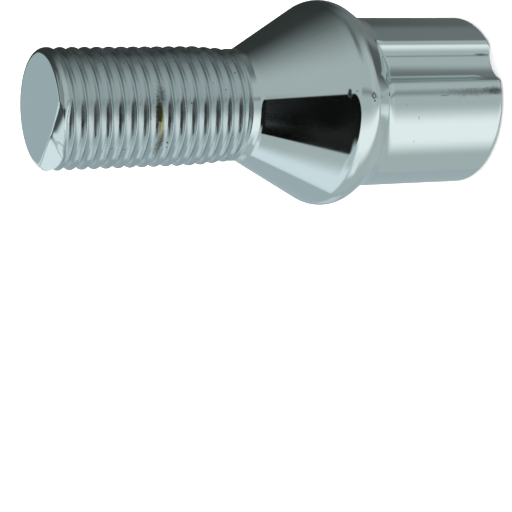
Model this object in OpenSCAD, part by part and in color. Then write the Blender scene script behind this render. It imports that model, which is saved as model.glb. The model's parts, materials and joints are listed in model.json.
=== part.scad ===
// Locking wheel bolt, forged and turned in one piece and chrome plated.
// It stands on its head: +Z runs from the head's end to the thread's tip, and z = 0 is the head's end face.
// The one lengthwise groove of the head faces -Y.

/* [Thread] */
// Major diameter of the thread
thread_d = 14; // [12:0.5:15]
// Pitch of the thread, which also sets the run-out and the tip's chamfer
pitch = 1.5; // [1:0.25:2]
// Length of the bolt, from the head's end to the thread's tip
bolt_h = 56.3; // [52:0.1:70]
// Turns over which the rolled crest rises from the neck to its full diameter
runout_turns = 3; // [1:0.5:5]
// How far the plain neck lies inside the thread's crest
neck_drop = 0.35; // [0.2:0.05:0.6]

/* [Head] */
// Diameter of the round head that the socket slides over
head_d = 20.6; // [19:0.1:22]
// Height at which the head's wall would meet the flange's back slope
head_h = 16.1; // [12:0.1:20]
// Radius of the rounded edge at the head's end
end_edge_r = 0.8; // [0.3:0.1:2]

/* [Flange and seat] */
// Diameter at which the back slope and the seat would meet if they were sharp
flange_d = 26.1; // [24:0.1:28]
// Height of the back slope, from the head's wall to that sharp meeting
slope_h = 4.3; // [4:0.1:8]
// Radius of the flange's rounded rim
rim_r = 3.6; // [1:0.1:4]
// Radius of the hollow fillet between the head's wall and the back slope
back_fillet_r = 2.6; // [0.5:0.1:3]
// Included angle of the cone that seats in the wheel
seat_angle = 60; // [50:1:75]
// Radius of the hollow fillet between the seat and the neck
neck_fillet_r = 0.6; // [0.4:0.1:4]
// Length of the plain neck between the seat's sharp end and the run-out
neck_h = 1.2; // [0.8:0.1:3]

/* [Key groove] */
// Depth of the groove below the head's wall
groove_depth = 1.6; // [0.8:0.05:2]
// Radius of the groove's hollow section
groove_r = 3.3; // [2.5:0.1:4.5]
// Radius of the rounded shoulders along the groove
shoulder_r = 0.7; // [0.4:0.1:1.5]
// Angle between the groove's run-out and the bolt's axis
ramp_angle = 50; // [40:1:70]
// How far above the wall's sharp end the run-out meets the line of the wall
ramp_bite = 0.25; // [0.1:0.05:0.5]

/* [Hidden] */
$fn = 96;

// A cut reaches this far past the faces that it opens
over = 1;
// Each arc off the square is this much over its tangent radius, so that it crosses what it blends into
lap = 0.003;

// The thread is a plain cylinder at its crest, with a chamfer at the tip
crest_r = thread_d / 2;
neck_r = crest_r - neck_drop;
tip_r = crest_r - 0.3 * pitch;
tip_h = 0.7 * pitch;

head_r = head_d / 2;
flange_r = flange_d / 2;
flange_z = head_h + slope_h;
seat_half = seat_angle / 2;
slope_half = atan((flange_r - head_r) / slope_h);
seat_z = flange_z + (flange_r - neck_r) / tan(seat_half);
neck_z = seat_z + neck_h;
runout_z = neck_z + runout_turns * pitch;

// Distances from each sharp corner of the profile to where its arc begins
back_run = back_fillet_r * tan(slope_half / 2);
rim_run = rim_r * tan((slope_half + seat_half) / 2);
neck_run = neck_fillet_r * tan(seat_half / 2);

// Unit directions of the back slope and of the seat, as [radius, height]
slope_dir = [sin(slope_half), cos(slope_half)];
seat_dir = [-sin(seat_half), cos(seat_half)];

// Sharp corners, arc ends and arc centres, as [radius, height]
head_corner = [head_r, head_h];
rim_corner = [flange_r, flange_z];
neck_corner = [neck_r, seat_z];
rim_start = rim_corner - rim_run * slope_dir;
rim_end = rim_corner + rim_run * seat_dir;
end_edge_centre = [head_r - end_edge_r, end_edge_r];
back_centre = head_corner + [back_fillet_r, -back_run];
rim_centre = rim_start + rim_r * [-slope_dir[1], slope_dir[0]];
neck_centre = neck_corner + [neck_fillet_r, neck_run];

// The groove's centre lies outside the wall, and its shoulders touch both the wall and the groove
groove_y = head_r - groove_depth + groove_r;
shoulder_reach = head_r - shoulder_r;
shoulder_gap = groove_r + shoulder_r;
shoulder_turn = acos((shoulder_reach ^ 2 + groove_y ^ 2 - shoulder_gap ^ 2) / (2 * shoulder_reach * groove_y));
shoulder_centre = shoulder_reach * [sin(shoulder_turn), -cos(shoulder_turn)];
wall_touch = head_r * [sin(shoulder_turn), -cos(shoulder_turn)];
groove_touch = [0, -groove_y] + groove_r / shoulder_gap * (shoulder_centre + [0, groove_y]);
groove_mouth_y = head_r + over;

// The groove runs out up a steep ramp that bites into the hollow fillet
ramp_end_z = head_h + ramp_bite;
ramp_reach = groove_depth + over;
ramp_run = ramp_reach / tan(ramp_angle);

// The same point on the other side of the groove
function across(point) = [-point[0], point[1]];

// Half of the bolt's lengthwise section, from the axis out
module half_section() {
    difference() {
        union() {
            polygon([
                [0, 0],
                [head_r - end_edge_r, 0],
                [head_r, end_edge_r],
                head_corner - [0, back_run],
                head_corner + back_run * slope_dir,
                rim_start,
                rim_end,
                neck_corner - neck_run * seat_dir,
                neck_corner + [0, neck_run],
                [neck_r, neck_z],
                [crest_r, runout_z],
                [crest_r, bolt_h - tip_h],
                [tip_r, bolt_h],
                [0, bolt_h]
            ]);
            translate(end_edge_centre) circle(end_edge_r);
            translate(rim_centre) circle(rim_r + lap);
        }
        translate(back_centre) circle(back_fillet_r + lap);
        translate(neck_centre) circle(neck_fillet_r + lap);
    }
}

// What the groove takes out of the head's cross-section
module groove_section() {
    difference() {
        union() {
            translate([0, -groove_y]) circle(groove_r);
            polygon([
                groove_touch,
                wall_touch,
                [wall_touch[0], -groove_mouth_y],
                [-wall_touch[0], -groove_mouth_y],
                across(wall_touch),
                across(groove_touch)
            ]);
        }
        translate(shoulder_centre) circle(shoulder_r + lap);
        translate(across(shoulder_centre)) circle(shoulder_r + lap);
    }
}

// The groove's full cut, from below the head's end to the top of its run-out slope
module groove_cut() {
    difference() {
        translate([0, 0, -over])
            linear_extrude(ramp_end_z + 2 * over) groove_section();
        translate([0, 0, ramp_end_z - ramp_run])
            cylinder(h = 2 * ramp_run, r1 = head_r - ramp_reach, r2 = head_r + ramp_reach);
    }
}

// The whole bolt: thread envelope, neck, seat, flange and grooved head
module wheel_bolt() {
    color([0.72, 0.76, 0.76])
        difference() {
            rotate_extrude() half_section();
            groove_cut();
        }
}

wheel_bolt();
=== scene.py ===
"""Looks of a chrome plated locking wheel bolt.

The bolt is turned and rolled as one mesh: grooved head, flange, conical seat, neck and helical thread.
It stands on its head at the origin, with +Z along it to the thread's tip. All lengths are in metres.
"""

import json
import logging
import math
from dataclasses import dataclass, field
from enum import Enum
from typing import Any

import bmesh
import bpy
from mathutils import Matrix, Quaternion, Vector


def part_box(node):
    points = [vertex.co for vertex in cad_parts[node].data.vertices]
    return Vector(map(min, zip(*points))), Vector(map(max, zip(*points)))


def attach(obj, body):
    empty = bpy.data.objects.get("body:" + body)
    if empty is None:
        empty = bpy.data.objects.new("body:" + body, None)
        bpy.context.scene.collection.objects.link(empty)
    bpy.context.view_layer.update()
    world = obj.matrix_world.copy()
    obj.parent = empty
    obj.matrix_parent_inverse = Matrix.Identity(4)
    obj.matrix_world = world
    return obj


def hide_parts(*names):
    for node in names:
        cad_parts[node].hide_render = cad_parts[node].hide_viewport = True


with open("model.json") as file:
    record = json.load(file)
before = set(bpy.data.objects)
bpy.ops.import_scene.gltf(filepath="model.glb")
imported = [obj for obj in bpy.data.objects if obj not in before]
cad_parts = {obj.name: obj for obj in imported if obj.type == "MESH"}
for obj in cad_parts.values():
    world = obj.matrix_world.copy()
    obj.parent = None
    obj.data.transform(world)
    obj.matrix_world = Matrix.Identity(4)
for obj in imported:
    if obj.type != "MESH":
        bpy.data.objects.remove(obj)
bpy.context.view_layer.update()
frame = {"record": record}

MM = 0.001
FULL_TURN = 2.0 * math.pi
CAMERA_BEARING = math.radians(-117.6)
log = logging.getLogger("wheel_bolt")


class Zone(Enum):
    """Stretches of the bolt that are plated alike, by material slot."""

    POLISHED = 0
    THREAD = 1


def mount_radius(name: str) -> float:
    """Radius of one of the record's round mounts.

    Args:
        name: the mount's name in the record.

    Returns:
        The radius in metres.
    """
    mount = next(m for m in frame["record"]["mounts"] if m["name"] == name)
    return mount["dims"]["r_mm"] * MM


def smooth_step(low: float, high: float, value: float) -> float:
    """Eases from 0 at low to 1 at high.

    Args:
        low: value at which the result is 0.
        high: value at which the result is 1.
        value: value to ease.

    Returns:
        The eased share, from 0 to 1.
    """
    share = min(1.0, max(0.0, (value - low) / (high - low)))
    return share * share * (3.0 - 2.0 * share)


def soft_min(a: float, b: float, blend: float) -> float:
    """Lesser of two lengths, rounded off where they cross.

    Args:
        a: first length.
        b: second length.
        blend: difference within which the crossing is rounded.

    Returns:
        The blended lesser length.
    """
    near = max(blend - abs(a - b), 0.0) / blend
    return min(a, b) - near * near * blend / 4.0


def round_corner(before: Vector, corner: Vector, after: Vector, radius: float, steps: int) -> list[Vector]:
    """Arc that rounds one corner of an outline.

    Args:
        before: point that the first leg comes from.
        corner: sharp corner.
        after: point that the second leg goes to.
        radius: radius of the arc.
        steps: straight steps that the arc is drawn with.

    Returns:
        The arc's points, from the first leg to the second.
    """
    back = (before - corner).normalized()
    ahead = (after - corner).normalized()
    half = back.angle(ahead) / 2.0
    centre = corner + (back + ahead).normalized() * (radius / math.sin(half))
    reach = radius / math.tan(half)
    first = corner + back * reach - centre
    last = corner + ahead * reach - centre
    return [centre + first.slerp(last, i / steps).normalized() * radius for i in range(steps + 1)]


def link_mesh(name: str, bm: bmesh.types.BMesh) -> bpy.types.Object:
    """Makes an object of a finished mesh and puts it in the scene.

    Args:
        name: name of the object and its mesh.
        bm: the finished mesh, which is freed.

    Returns:
        The object.
    """
    mesh = bpy.data.meshes.new(name)
    bm.to_mesh(mesh)
    bm.free()
    linked = bpy.data.objects.new(name, mesh)
    bpy.context.collection.objects.link(linked)
    return linked


@dataclass(frozen=True)
class Corner:
    """One corner of the turned outline, with the rows of the straight run that leads to it."""

    radius: float
    height: float
    rounding: float = 0.0
    steps: int = 0
    rows: int = 1

    def point(self) -> Vector:
        """The sharp corner as radius and height."""
        return Vector((self.radius, self.height))


@dataclass(frozen=True)
class SpinArc:
    """A stretch of the turn, with its number of columns."""

    degrees: float
    columns: int


@dataclass
class TurnedBody:
    """Head, flange, conical seat and neck, as one turned outline."""

    head_radius: float = field(default_factory=lambda: mount_radius("head"))
    head_height: float = 16.1 * MM
    end_edge: float = 0.8 * MM
    flange_radius: float = 13.05 * MM
    slope_height: float = 4.3 * MM
    rim_rounding: float = 3.6 * MM
    back_fillet: float = 2.6 * MM
    seat_half_angle: float = math.radians(30.0)
    neck_fillet: float = 1.8 * MM
    neck_length: float = 1.2 * MM
    plain_length: float = 1.0 * MM
    groove_end: float = 3.0 * MM
    support: float = 0.12 * MM

    @property
    def flange_height(self) -> float:
        """Height of the flange's sharp rim."""
        return self.head_height + self.slope_height

    def seat_height(self, neck_radius: float) -> float:
        """Height at which the seat's cone meets the neck."""
        return self.flange_height + (self.flange_radius - neck_radius) / math.tan(self.seat_half_angle)

    def neck_height(self, neck_radius: float) -> float:
        """Height at which the thread's run-out starts."""
        return self.seat_height(neck_radius) + self.neck_length

    def outline(self, neck_radius: float, foot: float) -> list[Vector]:
        """Half section from the axis at the head's end to the foot of the thread.

        Args:
            neck_radius: radius of the rolled neck.
            foot: height at which the thread starts.

        Returns:
            Points as radius and height.
        """
        corners = [
            Corner(0.0, 0.0),
            Corner(self.head_radius, 0.0, self.end_edge, steps=10, rows=4),
            Corner(self.head_radius, self.head_height - self.groove_end, rows=20),
            Corner(self.head_radius, self.head_height, self.back_fillet, steps=12, rows=16),
            Corner(self.flange_radius, self.flange_height, self.rim_rounding, steps=24, rows=4),
            Corner(neck_radius, self.seat_height(neck_radius), self.neck_fillet, steps=12, rows=10),
            Corner(neck_radius, foot),
        ]
        points = [corners[0].point()]
        for index, corner in enumerate(corners[1:], start=1):
            arc = [corner.point()]
            if corner.rounding:
                legs = corners[index - 1].point(), corners[index + 1].point()
                arc = round_corner(legs[0], corner.point(), legs[1], corner.rounding, corner.steps)
            points += self.straight_rows(points[-1], arc[0], corner.rows)
            points += arc
        return points

    def straight_rows(self, start: Vector, end: Vector, rows: int) -> list[Vector]:
        """Rows within a straight run, with a support row close to each end.

        Args:
            start: first point of the run.
            end: last point of the run.
            rows: number of steps between the support rows.

        Returns:
            The points between start and end.
        """
        run = (end - start).length
        inset = self.support / run
        shares = [inset + (1.0 - 2.0 * inset) * i / rows for i in range(rows + 1)]
        return [start.lerp(end, share) for share in shares]


@dataclass
class KeyGroove:
    """The lengthwise groove of the head, with its rounded shoulders and its run-out."""

    depth: float = 1.6 * MM
    hollow: float = 3.3 * MM
    shoulder: float = 0.4 * MM
    ramp_angle: float = math.radians(50.0)
    ramp_bite: float = 0.25 * MM
    end_edge: float = 0.3 * MM
    blend: float = 0.25 * MM

    def section_radius(self, turn: float, head_radius: float) -> float:
        """Radius of the head's cross-section at an angle from the groove's middle.

        Args:
            turn: angle from the groove's middle, in radians.
            head_radius: radius of the plain head.

        Returns:
            The distance from the axis to the grooved surface.
        """
        centre = head_radius - self.depth + self.hollow
        reach = head_radius - self.shoulder
        gap = self.hollow + self.shoulder
        shoulder_turn = math.acos((reach ** 2 + centre ** 2 - gap ** 2) / (2.0 * reach * centre))
        touch = Vector((0.0, centre)).lerp(
            Vector((reach * math.sin(shoulder_turn), reach * math.cos(shoulder_turn))), self.hollow / gap
        )
        touch_turn = math.atan2(touch.x, touch.y)
        turn = abs(turn)
        if turn >= shoulder_turn:
            return head_radius
        if turn >= touch_turn:
            off = turn - shoulder_turn
            return reach * math.cos(off) + math.sqrt(self.shoulder ** 2 - (reach * math.sin(off)) ** 2)
        return centre * math.cos(turn) - math.sqrt(self.hollow ** 2 - (centre * math.sin(turn)) ** 2)

    def cut(self, bm: bmesh.types.BMesh, body: TurnedBody) -> None:
        """Presses the groove into the head's wall, on the -Y side.

        Args:
            bm: mesh that holds the turned body.
            body: sizes of that body.
        """
        run_end = body.head_height + self.ramp_bite
        for vert in bm.verts:
            radius = math.hypot(vert.co.x, vert.co.y)
            if vert.co.z >= body.flange_height or radius < self.depth:
                continue
            floor = self.section_radius(math.atan2(vert.co.x, -vert.co.y), body.head_radius)
            if floor >= body.head_radius:
                continue
            ramp = body.head_radius - (run_end - vert.co.z) * math.tan(self.ramp_angle)
            floor = -soft_min(-floor, -ramp, self.blend)
            drop = min(self.end_edge, max(self.end_edge - vert.co.z, 0.0))
            floor -= self.end_edge - math.sqrt(self.end_edge ** 2 - drop ** 2)
            share = min(1.0, soft_min(radius, floor, self.blend) / radius)
            vert.co.x *= share
            vert.co.y *= share


@dataclass
class RolledThread:
    """Right-hand metric thread with low, rounded turns, rolled on the shank above a plain neck."""

    length: float
    crest_radius: float = field(default_factory=lambda: mount_radius("thread"))
    neck_drop: float = 0.35 * MM
    pitch: float = 1.5 * MM
    depth: float = 0.33 * MM
    crest_sharpness: float = 2.0
    runout_turns: float = 3.0
    fade_in: float = 0.5 * MM
    tip_edge: float = 0.9 * MM
    tip_flat: float = 3.6 * MM
    tip_rows: int = 24
    edge_steps: int = 12
    start_bearing: float = math.radians(-162.6)
    start_reach: float = 4.29 * MM
    start_radius: float = 30.0 * MM
    start_slope: float = math.radians(20.0)
    start_rise: float = math.radians(13.0)
    start_run: float = 5.4 * MM
    start_twist: float = 1.2 * MM
    start_edge: float = 0.3 * MM
    start_spread: float = math.radians(30.0)
    start_fade: float = math.radians(60.0)
    lead_in: float = 0.6 * MM
    start_turn: float = 0.433
    spare_turns: int = 2
    tooth_rows: int = 16

    @property
    def neck_radius(self) -> float:
        """Radius of the plain neck below the thread."""
        return self.crest_radius - self.neck_drop

    def start_height(self, point: Vector) -> float:
        """Height of the bevel that the thread starts from, at one side of the tip.

        Args:
            point: place on the bolt.

        Returns:
            The height of the bevel above or below that place, or the tip's height off the bevel.
        """
        outward = Vector((math.cos(self.start_bearing), math.sin(self.start_bearing)))
        past = (point.xy - outward * (self.start_reach - self.start_radius)).length - self.start_radius
        past = max(0.0, past)
        share = smooth_step(-self.start_twist, self.start_twist, outward.orthogonal() @ point.xy)
        slope = self.start_slope + (self.start_rise - self.start_slope) * share
        return self.length - past * math.tan(slope) * (1.0 - share * past / (2.0 * self.start_run))

    def edge_share(self, point: Vector) -> float:
        """Share of the tip's full rounding that is left at a place round the axis.

        Args:
            point: place on the bolt.

        Returns:
            The share, which is least about the middle of the bevel.
        """
        off = abs(math.remainder(math.atan2(point.y, point.x) - self.start_bearing, FULL_TURN))
        near = smooth_step(self.start_fade, self.start_spread, off)
        return 1.0 + (self.start_edge / self.tip_edge - 1.0) * near

    def tip_outline(self) -> list[Vector]:
        """Rounded edge of the tip and the outer part of its face.

        Returns:
            Points as radius and height, from the crest inward.
        """
        rim = Vector((self.crest_radius, self.length))
        arc = round_corner(Vector((rim.x, 0.0)), rim, Vector((0.0, rim.y)), self.tip_edge, self.edge_steps)
        flat = Vector((self.tip_flat, self.length))
        return arc + [arc[-1].lerp(flat, (row + 1) / self.tip_rows) for row in range(self.tip_rows)]

    def tooth(self) -> list[Vector]:
        """One pitch of the rolled thread's rounded outline, from the middle of a root.

        Returns:
            Points as radius and height along the axis.
        """
        points = []
        for row in range(self.tooth_rows):
            share = row / self.tooth_rows
            rise = (1.0 - abs(1.0 - 2.0 * share)) ** self.crest_sharpness
            points.append(Vector((self.crest_radius - self.depth * (1.0 - rise), share * self.pitch)))
        return points

    def outline(self, foot: float) -> list[Vector]:
        """Outline of all the turns along one side.

        Args:
            foot: height at which the thread starts.

        Returns:
            Points as radius and height, from the spare turns below the foot to past the tip.
        """
        turns = math.ceil((self.length - foot) / self.pitch) + self.spare_turns
        start = foot - self.spare_turns * self.pitch + self.start_turn * self.pitch
        tooth = self.tooth()
        return [Vector((p.x, start + turn * self.pitch + p.y)) for turn in range(turns + 1) for p in tooth]

    def rolled_radius(self, radius: float, height: float, foot: float, neck: float, top: float) -> float:
        """Radius of the thread where it runs out at the neck and into the tip's edge.

        Args:
            radius: radius of the full thread.
            height: height along the bolt.
            foot: height at which the thread's roots start.
            neck: height at which its crests start to rise.
            top: height at which the tip's edge starts.

        Returns:
            The radius that is left.
        """
        climb = min(1.0, max(0.0, (height - neck) / (self.runout_turns * self.pitch)))
        crest = self.neck_radius + self.neck_drop * climb
        cut = (self.crest_radius - radius) * smooth_step(foot, foot + self.fade_in, height)
        return crest - cut * smooth_step(top, top - self.lead_in, height)


@dataclass(frozen=True)
class Mark:
    """One stain, pit or scuff of the plating, placed by its height and its bearing in degrees."""

    bearing: float
    height: float
    half_turn: float
    half_height: float
    colour: tuple[float, float, float]
    strength: float
    raggedness: float = 0.4
    softness: float = 0.45
    hollow: float = 0.0
    climb: float = 0.0


@dataclass(frozen=True)
class ChromeFinish:
    """Bright plating: its colour, gloss and the unevenness of its surface."""

    name: str
    colour: tuple[float, float, float]
    roughness: float
    roughness_spread: float
    ripple_scale: float
    ripple_depth: float
    grain_scale: float
    grain_depth: float
    pit_scale: float
    pit_share: float
    pit_tone: float = 0.35
    mark_dulling: float = 0.3
    marks: tuple[Mark, ...] = ()


DARK = (0.04, 0.045, 0.045)
GREY = (0.25, 0.29, 0.29)
OLIVE = (0.07, 0.075, 0.05)
STRAW = (0.52, 0.50, 0.28)
UMBER = (0.056, 0.062, 0.016)
MOSS = (0.11, 0.12, 0.095)
STAIN_CLIMB = 0.70 * MM
POLISHED = ChromeFinish(
    name="polished_plating",
    colour=(0.72, 0.80, 0.80),
    roughness=0.04,
    roughness_spread=0.045,
    ripple_scale=160.0,
    ripple_depth=0.004 * MM,
    grain_scale=1500.0,
    grain_depth=0.0004 * MM,
    pit_scale=900.0,
    pit_share=0.006,
    marks=(
        Mark(-114.4, 19.75 * MM, 0.46 * MM, 0.40 * MM, DARK, 0.85, raggedness=0.2, hollow=0.50),
        Mark(-117.1, 19.65 * MM, 0.20 * MM, 0.16 * MM, DARK, 0.90),
        Mark(-113.3, 16.55 * MM, 0.34 * MM, 0.14 * MM, DARK, 0.80),
        Mark(-113.0, 22.60 * MM, 0.70 * MM, 0.26 * MM, DARK, 0.95, raggedness=0.5),
        Mark(-120.4, 14.00 * MM, 0.24 * MM, 0.08 * MM, GREY, 0.60),
        Mark(-129.2, 12.20 * MM, 0.28 * MM, 0.10 * MM, GREY, 0.60),
        Mark(-145.6, 12.35 * MM, 0.22 * MM, 0.07 * MM, GREY, 0.50),
        # These two marks lay a soft dark olive streak along the head's wall, from its end to about 9.6 mm
        # up, darkest towards the end.
        Mark(-112.0, 1.40 * MM, 0.66 * MM, 2.30 * MM, OLIVE, 0.80, raggedness=0.22, softness=0.85),
        Mark(-112.6, 4.60 * MM, 0.66 * MM, 5.00 * MM, OLIVE, 0.50, raggedness=0.38, softness=0.95),
        Mark(-114.6, 8.70 * MM, 0.14 * MM, 0.60 * MM, GREY, 0.50, raggedness=0.6),
        # A short dark dash inside the groove, right next to the head's end.
        Mark(-81.1, 1.40 * MM, 0.18 * MM, 1.40 * MM, DARK, 0.70, raggedness=0.3, softness=0.8),
    ),
)
THREAD_PLATING = ChromeFinish(
    name="thread_plating",
    colour=(0.545, 0.63, 0.645),
    roughness=0.15,
    roughness_spread=0.09,
    ripple_scale=600.0,
    ripple_depth=0.016 * MM,
    grain_scale=3000.0,
    grain_depth=0.0025 * MM,
    pit_scale=1400.0,
    pit_share=0.14,
    marks=(
        Mark(-107.5, 44.15 * MM, 1.80 * MM, 0.85 * MM, OLIVE, 0.70,
             raggedness=0.30, softness=0.90, climb=STAIN_CLIMB),
        Mark(-161.0, 44.20 * MM, 1.80 * MM, 0.60 * MM, MOSS, 0.65,
             raggedness=0.40, softness=0.90, climb=STAIN_CLIMB),
        Mark(-151.0, 43.95 * MM, 2.00 * MM, 0.62 * MM, MOSS, 0.85,
             raggedness=0.35, softness=0.80, climb=STAIN_CLIMB),
        Mark(-133.0, 44.20 * MM, 2.30 * MM, 0.52 * MM, STRAW, 0.95,
             raggedness=0.25, softness=0.60, climb=STAIN_CLIMB),
        Mark(-122.6, 44.52 * MM, 1.85 * MM, 0.56 * MM, UMBER, 0.95,
             raggedness=0.30, softness=0.60, climb=STAIN_CLIMB),
        Mark(-155.0, 43.03 * MM, 0.16 * MM, 0.16 * MM, DARK, 0.90),
    ),
)


class NodeBench:
    """Places nodes on one node tree and links them."""

    def __init__(self, tree: bpy.types.NodeTree) -> None:
        """Empties the tree that the nodes go on."""
        self.tree = tree
        tree.nodes.clear()

    def add(self, kind: str, inputs: dict[Any, Any] | None = None, **settings: Any) -> bpy.types.Node:
        """Adds one node.

        Args:
            kind: node type, without its ShaderNode prefix.
            inputs: values or sockets by input name or number.
            settings: properties of the node.

        Returns:
            The node.
        """
        prefix = "" if kind.startswith("NodeGroup") else "ShaderNode"
        node = self.tree.nodes.new(prefix + kind)
        for key, value in settings.items():
            setattr(node, key, value)
        for key, value in (inputs or {}).items():
            if isinstance(value, bpy.types.NodeSocket):
                self.tree.links.new(value, node.inputs[key])
            else:
                node.inputs[key].default_value = value
        return node

    def math(self, operation: str, *values: Any) -> bpy.types.NodeSocket:
        """Adds a Math node and gives its result."""
        return self.add("Math", dict(enumerate(values)), operation=operation).outputs[0]

    def vector(self, operation: str, *values: Any) -> bpy.types.NodeSocket:
        """Adds a Vector Math node and gives its vector."""
        return self.add("VectorMath", dict(enumerate(values)), operation=operation).outputs["Vector"]

    def span(self, first: Any, second: Any) -> bpy.types.NodeSocket:
        """Adds the length of two sides at right angles."""
        squared = self.math("MULTIPLY_ADD", first, first, self.math("POWER", second, 2.0))
        return self.math("SQRT", squared)

    def ease(
        self, value: Any, low: Any, high: Any, start: float = 0.0, end: float = 1.0
    ) -> bpy.types.NodeSocket:
        """Adds a Map Range node that eases from start to end between low and high.

        Args:
            value: socket to ease.
            low: value that gives start.
            high: value that gives end.
            start: result at low.
            end: result at high.

        Returns:
            The eased value.
        """
        inputs = {0: value, 1: low, 2: high, 3: start, 4: end}
        return self.add("MapRange", inputs, interpolation_type="SMOOTHSTEP").outputs[0]

    def mix(self, share: Any, first: Any, second: Any) -> bpy.types.NodeSocket:
        """Adds a colour mix.

        Args:
            share: share of the second colour.
            first: colour or socket at 0.
            second: colour or socket at 1.

        Returns:
            The mixed colour.
        """
        node = self.add("Mix", data_type="RGBA", clamp_factor=True)
        for key, value in (("Factor_Float", share), ("A_Color", first), ("B_Color", second)):
            socket = next(s for s in node.inputs if s.identifier == key)
            if isinstance(value, bpy.types.NodeSocket):
                self.tree.links.new(value, socket)
            else:
                socket.default_value = value if key == "Factor_Float" else (*value, 1.0)
        return next(s for s in node.outputs if s.identifier == "Result_Color")

    def group(self, tree: bpy.types.NodeTree, inputs: dict[str, Any]) -> bpy.types.Node:
        """Places a node group with its own values."""
        return self.add("Group", inputs, node_tree=tree)


def new_group(name: str, inputs: dict[str, str], outputs: dict[str, str]) -> tuple[NodeBench, Any, Any]:
    """Starts a shader node group.

    Args:
        name: name of the group.
        inputs: socket kinds by input name.
        outputs: socket kinds by output name.

    Returns:
        The bench, the group's inputs and the group's outputs.
    """
    tree = bpy.data.node_groups.new(name, "ShaderNodeTree")
    for sockets, direction in ((inputs, "INPUT"), (outputs, "OUTPUT")):
        for socket_name, kind in sockets.items():
            tree.interface.new_socket(socket_name, in_out=direction, socket_type="NodeSocket" + kind)
    bench = NodeBench(tree)
    return bench, bench.add("NodeGroupInput").outputs, bench.add("NodeGroupOutput").inputs


class PlatingEffects:
    """Shader groups that both kinds of plating use."""

    CLOUD_RANGE: tuple[float, float] = (0.35, 0.65)
    PIT_RIM: tuple[float, float] = (0.08, 0.22)
    TEAR_SCALE: float = 3500.0
    TEAR_REACH: float = 3.0
    RING_EDGE: float = 0.2

    def __init__(self) -> None:
        """Builds the groups once."""
        self.unevenness = self.build_unevenness()
        self.pits = self.build_pits()
        self.mark = self.build_mark()

    def build_unevenness(self) -> bpy.types.NodeTree:
        """Height of the plating's slow ripple and fine grain.

        Returns:
            The group.
        """
        bench, given, result = new_group(
            "plating_unevenness",
            {"Place": "Vector", "Ripple Scale": "Float", "Ripple Depth": "Float",
             "Grain Scale": "Float", "Grain Depth": "Float"},
            {"Height": "Float", "Clouding": "Float"},
        )
        place = given["Place"]
        ripple = bench.add("TexNoise", {"Vector": place, "Scale": given["Ripple Scale"], "Detail": 1.0})
        grain = bench.add("TexNoise", {"Vector": place, "Scale": given["Grain Scale"], "Detail": 2.0})
        slow = bench.math("MULTIPLY", ripple.outputs[0], given["Ripple Depth"])
        fine = bench.math("MULTIPLY", grain.outputs[0], given["Grain Depth"])
        bench.tree.links.new(bench.math("ADD", slow, fine), result["Height"])
        bench.tree.links.new(bench.ease(ripple.outputs[0], *self.CLOUD_RANGE), result["Clouding"])
        return bench.tree

    def build_pits(self) -> bpy.types.NodeTree:
        """Mask of small pits and specks in the plating.

        Returns:
            The group.
        """
        bench, given, result = new_group(
            "plating_pits", {"Place": "Vector", "Scale": "Float", "Share": "Float"}, {"Mask": "Float"}
        )
        cells = bench.add("TexVoronoi", {"Vector": given["Place"], "Scale": given["Scale"]})
        pick = bench.add("SeparateColor", {"Color": cells.outputs["Color"]}).outputs[0]
        chosen = bench.math("LESS_THAN", pick, given["Share"])
        spot = bench.ease(cells.outputs["Distance"], *self.PIT_RIM, 1.0, 0.0)
        bench.tree.links.new(bench.math("MULTIPLY", chosen, spot), result["Mask"])
        return bench.tree

    def build_mark(self) -> bpy.types.NodeTree:
        """Mask of one ragged mark, full or as a ring, placed about the axis.

        Returns:
            The group.
        """
        bench, given, result = new_group(
            "plating_mark",
            {"Place": "Vector", "Bearing": "Float", "Height": "Float", "Half Turn": "Float",
             "Half Height": "Float", "Raggedness": "Float", "Softness": "Float", "Hollow": "Float",
             "Climb": "Float"},
            {"Mask": "Float"},
        )
        axes = bench.add("SeparateXYZ", {0: given["Place"]}).outputs
        radius = bench.span(axes[0], axes[1])
        turned = bench.math("SUBTRACT", bench.math("ARCTAN2", axes[1], axes[0]), given["Bearing"])
        turned = bench.math("WRAP", turned, math.pi, -math.pi)
        around = bench.math("DIVIDE", bench.math("MULTIPLY", turned, radius), given["Half Turn"])
        lead = bench.math("DIVIDE", given["Climb"], FULL_TURN)
        middle = bench.math("MULTIPLY_ADD", turned, lead, given["Height"])
        along = bench.math("DIVIDE", bench.math("SUBTRACT", axes[2], middle), given["Half Height"])
        reach = bench.span(around, along)
        noise = bench.add("TexNoise", {"Vector": given["Place"], "Scale": self.TEAR_SCALE, "Detail": 2.0})
        tear = bench.math("MULTIPLY", given["Raggedness"], self.TEAR_REACH)
        torn = bench.math("MULTIPLY", bench.math("SUBTRACT", noise.outputs[0], 0.5), tear)
        edge = bench.math("ADD", reach, torn)
        full = bench.ease(edge, bench.math("SUBTRACT", 1.0, given["Softness"]), 1.0, 1.0, 0.0)
        core = bench.ease(edge, bench.math("SUBTRACT", given["Hollow"], self.RING_EDGE), given["Hollow"])
        ring = bench.math("GREATER_THAN", given["Hollow"], 0.0)
        kept = bench.math("MAXIMUM", core, bench.math("SUBTRACT", 1.0, ring))
        bench.tree.links.new(bench.math("MULTIPLY", full, kept), result["Mask"])
        return bench.tree


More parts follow.
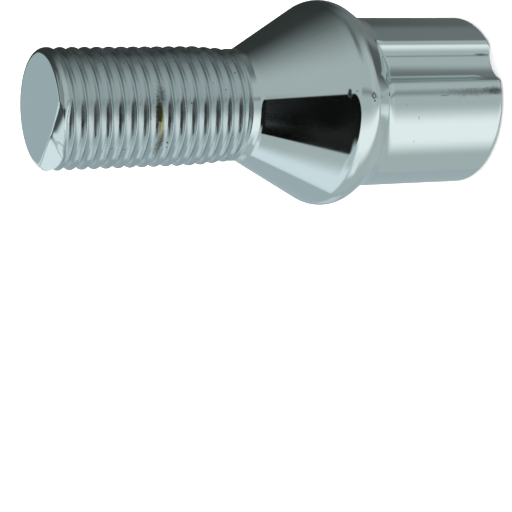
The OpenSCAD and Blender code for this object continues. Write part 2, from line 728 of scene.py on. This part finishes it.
class PlatingMaker:
    """Makes the bolt's two materials from their finishes."""

    def __init__(self) -> None:
        """Builds the shared effects."""
        self.effects = PlatingEffects()

    def material(self, finish: ChromeFinish) -> bpy.types.Material:
        """Makes one chrome material.

        Args:
            finish: colour, gloss and unevenness of the plating.

        Returns:
            The material.
        """
        material = bpy.data.materials.new(finish.name)
        material.use_nodes = True
        bench = NodeBench(material.node_tree)
        place = bench.add("TexCoord").outputs["Object"]
        uneven = bench.group(self.effects.unevenness, {
            "Place": place,
            "Ripple Scale": finish.ripple_scale,
            "Ripple Depth": finish.ripple_depth,
            "Grain Scale": finish.grain_scale,
            "Grain Depth": finish.grain_depth,
        })
        pits = bench.group(
            self.effects.pits, {"Place": place, "Scale": finish.pit_scale, "Share": finish.pit_share}
        ).outputs["Mask"]
        pitted = tuple(finish.pit_tone * c for c in finish.colour)
        colour = bench.mix(pits, finish.colour, pitted)
        clouding = uneven.outputs["Clouding"]
        gloss = bench.math("MULTIPLY_ADD", clouding, finish.roughness_spread, finish.roughness)
        for mark in finish.marks:
            mask = bench.group(self.effects.mark, {
                "Place": place,
                "Bearing": math.radians(mark.bearing),
                "Height": mark.height,
                "Half Turn": mark.half_turn,
                "Half Height": mark.half_height,
                "Raggedness": mark.raggedness,
                "Softness": mark.softness,
                "Hollow": mark.hollow,
                "Climb": mark.climb,
            }).outputs["Mask"]
            share = bench.math("MULTIPLY", mask, mark.strength)
            colour = bench.mix(share, colour, mark.colour)
            gloss = bench.math("MULTIPLY_ADD", share, finish.mark_dulling, gloss)
        bump = bench.add("Bump", {"Strength": 1.0, "Distance": 1.0, "Height": uneven.outputs["Height"]})
        shader = bench.add("BsdfPrincipled", {
            "Base Color": colour,
            "Metallic": 1.0,
            "Roughness": gloss,
            "Normal": bump.outputs["Normal"],
        })
        bench.add("OutputMaterial", {"Surface": shader.outputs[0]})
        return material


@dataclass
class WheelBolt:
    """The whole bolt as one mesh that stands for its CAD node."""

    node: str = "wheel_bolt"
    piece_name: str = "chrome_wheel_bolt"
    body: TurnedBody = field(default_factory=TurnedBody)
    groove: KeyGroove = field(default_factory=KeyGroove)
    groove_bearing: float = -90.0
    groove_arc: SpinArc = SpinArc(40.0, 64)
    plain_arc: SpinArc = SpinArc(320.0, 92)
    weld: float = 0.002 * MM

    def __post_init__(self) -> None:
        """Takes the bolt's length from the frame and sets the heights of neck and thread."""
        self.thread = RolledThread(length=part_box(self.node)[1][2])
        self.neck = self.body.neck_height(self.thread.neck_radius)
        self.foot = self.neck - self.body.neck_length + self.body.plain_length

    def columns(self) -> list[float]:
        """Angles of the mesh's columns over one full turn, from one side of the groove.

        Returns:
            The angles in radians, with both ends of the turn.
        """
        angles = [self.groove_bearing - self.groove_arc.degrees / 2.0]
        for arc in (self.groove_arc, self.plain_arc):
            start = angles[-1]
            angles += [start + arc.degrees * (i + 1) / arc.columns for i in range(arc.columns)]
        return [math.radians(angle) for angle in angles]

    def turn(
        self, bm: bmesh.types.BMesh, outline: list[Vector], rise: float = 0.0
    ) -> list[bmesh.types.BMVert]:
        """Wraps a grid about the axis along an outline, finely over the groove and coarsely elsewhere.

        Args:
            bm: mesh to add to.
            outline: points as radius and height.
            rise: climb in one full turn.

        Returns:
            The new vertices.
        """
        angles = self.columns()
        sides, rows = len(angles) - 1, len(outline) - 1
        made = bmesh.ops.create_grid(bm, x_segments=sides, y_segments=rows, size=0.5)["verts"]
        for vert in made:
            point = outline[round((vert.co.y + 0.5) * rows)]
            angle = angles[round((vert.co.x + 0.5) * sides)]
            climb = rise * (angle - angles[0]) / FULL_TURN
            vert.co = (point.x * math.cos(angle), point.x * math.sin(angle), point.y + climb)
        return made

    def roll_thread(self, bm: bmesh.types.BMesh) -> None:
        """Adds the helical thread, faded out at the neck and the tip.

        Args:
            bm: mesh to add to.
        """
        thread = self.thread
        for vert in self.turn(bm, thread.outline(self.foot), thread.pitch):
            radius = math.hypot(vert.co.x, vert.co.y)
            crest = vert.co * (thread.crest_radius / radius)
            top = min(thread.length - thread.tip_edge * thread.edge_share(crest), thread.start_height(crest))
            vert.co.z = min(top, max(self.foot, vert.co.z))
            share = thread.rolled_radius(radius, vert.co.z, self.foot, self.neck, top) / radius
            vert.co.x *= share
            vert.co.y *= share

    def face_tip(self, bm: bmesh.types.BMesh) -> None:
        """Adds the flat tip with its rounded edge and the bevel that the thread starts from.

        Args:
            bm: mesh to add to.
        """
        thread = self.thread
        made = self.turn(bm, thread.tip_outline())
        rim, flat = thread.crest_radius, thread.crest_radius - thread.tip_edge
        for vert in made:
            radius = vert.co.xy.length
            share = thread.edge_share(vert.co)
            inset = min(rim - radius, thread.tip_edge) * share
            run = max(0.0, flat - radius) / (flat - thread.tip_flat)
            inset += run * (rim - thread.tip_edge * share - thread.tip_flat)
            vert.co.xy *= (rim - inset) / radius
            vert.co.z = thread.length - (thread.length - vert.co.z) * share
            vert.co.z = min(vert.co.z, thread.start_height(vert.co))
        bmesh.ops.remove_doubles(bm, verts=made, dist=self.weld)
        inner = thread.tip_flat + self.weld
        edges = [e for e in bm.edges if all(v.co.z > self.neck and v.co.xy.length < inner for v in e.verts)]
        bmesh.ops.contextual_create(bm, geom=edges)

    def build(self) -> bpy.types.Object:
        """Builds the bolt's mesh and its object.

        Returns:
            The object, in the scene.
        """
        bm = bmesh.new()
        self.turn(bm, self.body.outline(self.thread.neck_radius, self.foot))
        self.groove.cut(bm, self.body)
        self.roll_thread(bm)
        self.face_tip(bm)
        bmesh.ops.remove_doubles(bm, verts=bm.verts, dist=self.weld)
        bmesh.ops.recalc_face_normals(bm, faces=bm.faces)
        top = self.thread.length - self.thread.tip_edge
        for face in bm.faces:
            face.smooth = True
            zone = Zone.THREAD if self.foot < face.calc_center_median().z < top else Zone.POLISHED
            face.material_index = zone.value
        return link_mesh(self.piece_name, bm)

    def dress(self, piece: bpy.types.Object, maker: PlatingMaker) -> None:
        """Gives the bolt its plating and ties it to the frame.

        Args:
            piece: the bolt's object.
            maker: makes the plating's materials.
        """
        for finish in (POLISHED, THREAD_PLATING):
            piece.data.materials.append(maker.material(finish))
        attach(piece, "root")
        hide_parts(self.node)


@dataclass(frozen=True)
class StudioCard:
    """A lit or dark card round the bolt, placed in degrees: bearing from the camera's side, and rise."""

    name: str
    centre: tuple[float, float]
    half_size: tuple[float, float]
    feather: tuple[float, float]
    light: tuple[float, float, float]
    corner: float = 0.5


@dataclass
class Studio:
    """Pale floor and the soft light that the plating mirrors."""

    floor_size: float = 6.0
    floor_colour: tuple[float, float, float] = (0.95, 0.95, 0.95)
    floor_gap: float = 0.02 * MM
    soft_light: tuple[float, float, float] = (2.0, 2.0, 2.0)
    room: tuple[float, float, float] = (0.46, 0.51, 0.51)
    cards: tuple[StudioCard, ...] = (
        StudioCard("overhead_shade", (126.0, 11.0), (45.0, 47.0), (44.0, 14.0), (0.035, 0.040, 0.038)),
        StudioCard("thread_shade", (88.0, -23.0), (32.0, 6.5), (20.0, 5.0), (0.13, 0.15, 0.15)),
        StudioCard("low_shade", (134.0, -42.0), (55.0, 15.0), (26.0, 8.0), (0.18, 0.20, 0.20)),
        StudioCard("back_floor", (115.0, -68.0), (40.0, 12.0), (20.0, 6.0), (0.10, 0.11, 0.11)),
        StudioCard("floor_glow", (20.0, -56.0), (50.0, 10.0), (45.0, 6.0), (0.50, 0.55, 0.55)),
        StudioCard("back_shade", (158.0, 13.5), (32.5, 46.0), (16.0, 12.0), (0.035, 0.040, 0.038)),
        StudioCard("tip_sheen", (30.0, 74.0), (50.0, 34.0), (25.0, 6.0), (0.25, 0.28, 0.28)),
        StudioCard("tip_haze", (140.0, 74.0), (50.0, 34.0), (20.0, 6.0), (0.05, 0.06, 0.06)),
        StudioCard("tip_glow", (150.0, 70.0), (40.0, 14.0), (15.0, 8.0), (0.30, 0.34, 0.34)),
        StudioCard("front_table", (-44.5, -37.0), (24.5, 47.0), (15.0, 7.0), (1.0, 1.03, 1.03)),
        StudioCard("side_card", (-92.0, 6.0), (25.0, 10.5), (8.0, 4.0), (0.78, 0.86, 0.90)),
        StudioCard("root_card", (-71.0, -17.0), (15.0, 8.0), (6.0, 4.0), (0.82, 0.90, 0.93)),
        StudioCard("side_glow", (-105.0, 43.0), (22.0, 17.0), (13.0, 5.0), (0.83, 0.87, 0.87)),
        StudioCard("side_wall", (-147.5, 10.0), (32.0, 60.0), (1.0, 1.0), (0.41, 0.48, 0.50), 5.0),
        StudioCard("tip_card", (180.0, 24.0), (14.0, 10.0), (3.0, 5.0), (0.39, 0.47, 0.49)),
        StudioCard("table_edge", (10.0, -40.0), (2.5, 35.0), (4.0, 4.0), (0.25, 0.28, 0.29)),
        StudioCard("under_head", (0.0, -90.0), (200.0, 6.0), (8.0, 3.0), (0.46, 0.52, 0.55)),
        StudioCard("low_glow", (-137.0, -23.0), (11.0, 6.0), (4.0, 3.0), (0.58, 0.65, 0.67)),
        StudioCard("twist_card", (-166.0, 12.0), (7.0, 13.0), (2.0, 3.0), (0.76, 0.84, 0.86)),
        StudioCard("tip_flag", (-117.0, 70.0), (66.0, 24.0), (3.0, 2.0), (0.05, 0.055, 0.055)),
        StudioCard("start_card", (-150.0, 42.0), (12.0, 13.0), (2.0, 3.0), (0.84, 0.92, 0.94)),
        StudioCard("start_flag", (-172.0, 42.8), (9.0, 6.7), (2.0, 1.5), (0.06, 0.07, 0.07)),
        StudioCard("ridge_card", (-175.0, 31.8), (9.0, 4.1), (2.0, 1.2), (0.76, 0.84, 0.86)),
        StudioCard("black_flag", (-25.6, 55.0), (34.8, 57.0), (1.0, 1.0), (0.002, 0.0022, 0.002), 28.0),
        StudioCard("flag_sheen", (-24.0, 52.0), (40.0, 18.0), (6.0, 4.0), (0.09, 0.10, 0.10)),
        StudioCard("flag_end", (-66.0, 52.0), (28.0, 20.0), (12.0, 4.0), (0.50, 0.57, 0.58)),
        StudioCard("flag_foot", (-60.0, 4.0), (15.0, 9.0), (8.0, 5.0), (0.50, 0.57, 0.58)),
    )

    def card_mask(self) -> bpy.types.NodeTree:
        """Group that masks a rounded card by direction.

        Returns:
            The group.
        """
        bench, given, result = new_group(
            "studio_card",
            {"Direction": "Vector", "Centre": "Vector", "Half Size": "Vector", "Feather": "Vector",
             "Corner": "Float"},
            {"Mask": "Float"},
        )
        half_circle = Vector((180.0, 180.0, 180.0))
        off = bench.vector("SUBTRACT", given["Direction"], given["Centre"])
        away = bench.vector("ABSOLUTE", bench.vector("WRAP", off, half_circle, -half_circle))
        past = bench.vector("DIVIDE", bench.vector("SUBTRACT", away, given["Half Size"]), given["Feather"])
        corner = bench.add("CombineXYZ", {0: given["Corner"], 1: given["Corner"], 2: 0.0}).outputs[0]
        inner = bench.vector("ADD", past, corner)
        beyond = bench.vector("MAXIMUM", inner, (0.0, 0.0, 0.0))
        outside = bench.add("VectorMath", {0: beyond}, operation="LENGTH")
        parts = bench.add("SeparateXYZ", {0: inner}).outputs
        inside = bench.math("MINIMUM", bench.math("MAXIMUM", parts[0], parts[1]), 0.0)
        signed = bench.math("SUBTRACT", bench.math("ADD", outside.outputs["Value"], inside), given["Corner"])
        bench.tree.links.new(bench.ease(signed, -1.0, 1.0, 1.0, 0.0), result["Mask"])
        return bench.tree

    def light(self) -> None:
        """Sets the world: plain soft light for the floor, and the cards for what the plating mirrors."""
        world = bpy.data.worlds.new("studio")
        bpy.context.scene.world = world
        world.use_nodes = True
        bench = NodeBench(world.node_tree)
        ray = bench.add("TexCoord").outputs["Generated"]
        spin = (0.0, 0.0, -CAMERA_BEARING)
        local = bench.add("Mapping", {"Vector": ray, "Rotation": spin}, vector_type="VECTOR").outputs[0]
        axes = bench.add("SeparateXYZ", {0: local}).outputs
        bearing = bench.math("DEGREES", bench.math("ARCTAN2", axes[1], axes[0]))
        rise = bench.math("DEGREES", bench.math("ARCSINE", axes[2]))
        direction = bench.add("CombineXYZ", {0: bearing, 1: rise, 2: 0.0}).outputs[0]
        mask = self.card_mask()
        seen: Any = self.room
        for card in self.cards:
            placed = bench.group(mask, {
                "Direction": direction,
                "Centre": (*card.centre, 0.0),
                "Half Size": (*card.half_size, 1.0),
                "Feather": (*card.feather, 1.0),
                "Corner": card.corner,
            })
            placed.label = card.name
            seen = bench.mix(placed.outputs["Mask"], seen, card.light)
        soft = bench.add("Background", {"Color": (*self.soft_light, 1.0), "Strength": 1.0})
        mirrored = bench.add("Background", {"Color": seen, "Strength": 1.0})
        glossy = bench.add("LightPath").outputs["Is Glossy Ray"]
        both = bench.add("MixShader", {0: glossy, 1: soft.outputs[0], 2: mirrored.outputs[0]})
        bench.add("OutputWorld", {"Surface": both.outputs[0]})

    def lay_floor(self) -> bpy.types.Object:
        """Lays the pale floor just under the head's end.

        Returns:
            The floor.
        """
        bm = bmesh.new()
        lift = Matrix.Translation((0.0, 0.0, -self.floor_gap))
        bmesh.ops.create_grid(bm, x_segments=1, y_segments=1, size=self.floor_size / 2.0, matrix=lift)
        floor = link_mesh("floor", bm)
        material = bpy.data.materials.new("floor_paint")
        material.use_nodes = True
        bench = NodeBench(material.node_tree)
        paint = bench.add("BsdfDiffuse", {"Color": (*self.floor_colour, 1.0)})
        bench.add("OutputMaterial", {"Surface": paint.outputs[0]})
        floor.data.materials.append(material)
        floor.visible_glossy = False
        return floor


@dataclass
class PhotoCamera:
    """Camera at the photograph's viewing angle, in front of and above the bolt, turned on its side."""

    bearing: float = CAMERA_BEARING
    reach: float = 193.665 * MM
    height: float = 129.199 * MM
    aim_across: float = -18.183 * MM
    aim_height: float = 29.261 * MM
    roll: float = math.radians(-93.798)
    lens: float = 127.774
    sensor: float = 36.0
    nearest: float = 10.0 * MM
    farthest: float = 20.0

    def place(self) -> bpy.types.Object:
        """Makes the camera and gives it to the scene.

        Returns:
            The camera.
        """
        data = bpy.data.cameras.new("photo_camera")
        data.lens = self.lens
        data.sensor_width = self.sensor
        data.clip_start = self.nearest
        data.clip_end = self.farthest
        camera = bpy.data.objects.new("photo_camera", data)
        bpy.context.collection.objects.link(camera)
        near = Vector((math.cos(self.bearing), math.sin(self.bearing), 0.0))
        across = Vector((-near.y, near.x, 0.0))
        axis = Vector((0.0, 0.0, 1.0))
        camera.location = near * self.reach + axis * self.height
        aim = across * self.aim_across + axis * self.aim_height
        level = (aim - camera.location).to_track_quat("-Z", "Y")
        camera.rotation_mode = "QUATERNION"
        camera.rotation_quaternion = level @ Quaternion((0.0, 0.0, 1.0), self.roll)
        bpy.context.scene.camera = camera
        return camera


def main() -> None:
    """Builds the camera, the studio and the bolt."""
    logging.basicConfig(level=logging.INFO, format="%(name)s: %(message)s")
    bpy.context.scene.view_settings.view_transform = "Standard"
    PhotoCamera().place()
    studio = Studio()
    studio.light()
    studio.lay_floor()
    bolt = WheelBolt()
    piece = bolt.build()
    bolt.dress(piece, PlatingMaker())
    log.info("%s: %d vertices, %d faces", piece.name, len(piece.data.vertices), len(piece.data.polygons))


if __name__ == "__main__":
    main()
